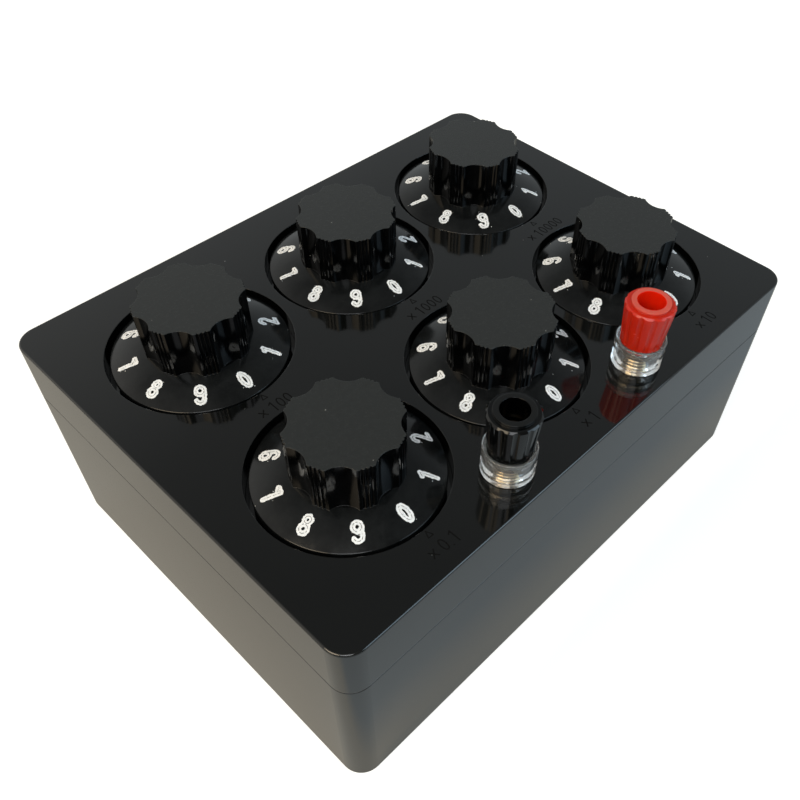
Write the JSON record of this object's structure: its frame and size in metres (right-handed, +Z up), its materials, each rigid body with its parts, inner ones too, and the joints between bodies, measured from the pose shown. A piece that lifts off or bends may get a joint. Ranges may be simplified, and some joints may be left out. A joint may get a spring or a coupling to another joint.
{
  "type": "decade resistance box",
  "caption": "Bench resistance box: black moulded case, rows of fluted knob dials with figures that turn brush switches over wound resistors, and black and red binding posts.",
  "frame": {"origin": "middle of the underside of the case", "axes": "+X to the user's right along the rows of dials, +Y to the back away from the binding posts, +Z up"},
  "size_m": [0.17, 0.129, 0.0868],
  "materials": {
    "case_plastic": "polished black moulding",
    "dial_plastic": "black moulding, satin top",
    "black_cap_plastic": "glossy black",
    "red_cap_plastic": "glossy orange red",
    "clear_plastic": "clear",
    "nickel": "nickel plated",
    "brass": "turned",
    "spring_brass": "rolled sheet",
    "steel": "zinc plated",
    "laminate": "brown paper laminate",
    "winding": "enamelled wire on a bobbin",
    "wire_insulation": "sleeved wire"
  },
  "bodies": {
    "case": {"case_base": "case_plastic", "top_cover": "case_plastic", "case_screws": "steel", "spindle_bushes": "brass", "bush_nuts": "nickel", "collector_rings": "brass", "post_nuts": "nickel", "post_solder_tags": "nickel", "link_wires": "wire_insulation", "black_post_collar": "clear_plastic", "black_post_stud": "brass", "red_post_collar": "clear_plastic", "red_post_stud": "brass", "tenths_contact_plate": "laminate", "tenths_contact_studs": "brass", "tenths_resistors": "winding", "units_contact_plate": "laminate", "units_contact_studs": "brass", "units_resistors": "winding", "tens_contact_plate": "laminate", "tens_contact_studs": "brass", "tens_resistors": "winding", "hundreds_contact_plate": "laminate", "hundreds_contact_studs": "brass", "hundreds_resistors": "winding", "thousands_contact_plate": "laminate", "thousands_contact_studs": "brass", "thousands_resistors": "winding", "ten_thousands_contact_plate": "laminate", "ten_thousands_contact_studs": "brass", "ten_thousands_resistors": "winding"},
    "tenths_dial": {"tenths_knob_dial": "dial_plastic", "tenths_grub_screw": "steel", "tenths_spindle": "brass", "tenths_brush": "spring_brass"},
    "units_dial": {"units_knob_dial": "dial_plastic", "units_grub_screw": "steel", "units_spindle": "brass", "units_brush": "spring_brass"},
    "tens_dial": {"tens_knob_dial": "dial_plastic", "tens_grub_screw": "steel", "tens_spindle": "brass", "tens_brush": "spring_brass"},
    "hundreds_dial": {"hundreds_knob_dial": "dial_plastic", "hundreds_grub_screw": "steel", "hundreds_spindle": "brass", "hundreds_brush": "spring_brass"},
    "thousands_dial": {"thousands_knob_dial": "dial_plastic", "thousands_grub_screw": "steel", "thousands_spindle": "brass", "thousands_brush": "spring_brass"},
    "ten_thousands_dial": {"ten_thousands_knob_dial": "dial_plastic", "ten_thousands_grub_screw": "steel", "ten_thousands_spindle": "brass", "ten_thousands_brush": "spring_brass"},
    "black_insert": {"black_post_insert": "brass"},
    "black_cap": {"black_post_cap": "black_cap_plastic"},
    "red_insert": {"red_post_insert": "brass"},
    "red_cap": {"red_post_cap": "red_cap_plastic"}
  },
  "joints": [
    {"name": "tenths_turn", "type": "hinge", "parent": "case", "child": "tenths_dial", "pos_m": [-0.0514, -0.0285, 0.067], "axis": [0, 0, 1], "continuous": true},
    {"name": "units_turn", "type": "hinge", "parent": "case", "child": "units_dial", "pos_m": [0, -0.0285, 0.067], "axis": [0, 0, 1], "continuous": true},
    {"name": "tens_turn", "type": "hinge", "parent": "case", "child": "tens_dial", "pos_m": [0.0514, -0.0285, 0.067], "axis": [0, 0, 1], "continuous": true},
    {"name": "hundreds_turn", "type": "hinge", "parent": "case", "child": "hundreds_dial", "pos_m": [-0.0514, 0.0285, 0.067], "axis": [0, 0, 1], "continuous": true},
    {"name": "thousands_turn", "type": "hinge", "parent": "case", "child": "thousands_dial", "pos_m": [0, 0.0285, 0.067], "axis": [0, 0, 1], "continuous": true},
    {"name": "ten_thousands_turn", "type": "hinge", "parent": "case", "child": "ten_thousands_dial", "pos_m": [0.0514, 0.0285, 0.067], "axis": [0, 0, 1], "continuous": true},
    {"name": "black_cap_rise", "type": "slide", "parent": "case", "child": "black_insert", "axis": [0, 0, 1], "range_m": [0, 0.004]},
    {"name": "black_cap_turn", "type": "hinge", "parent": "black_insert", "child": "black_cap", "pos_m": [-0.0253, -0.0541, 0.067], "axis": [0, 0, 1], "range_deg": [0, 1443]},
    {"name": "red_cap_rise", "type": "slide", "parent": "case", "child": "red_insert", "axis": [0, 0, 1], "range_m": [0, 0.004]},
    {"name": "red_cap_turn", "type": "hinge", "parent": "red_insert", "child": "red_cap", "pos_m": [0.0253, -0.0541, 0.067], "axis": [0, 0, 1], "range_deg": [0, 1443]}
  ],
  "couplings": [
    {"joint": "black_cap_turn", "follows": "black_cap_rise", "rad_per_m": 6283.2},
    {"joint": "red_cap_turn", "follows": "red_cap_rise", "rad_per_m": 6283.2}
  ]
}
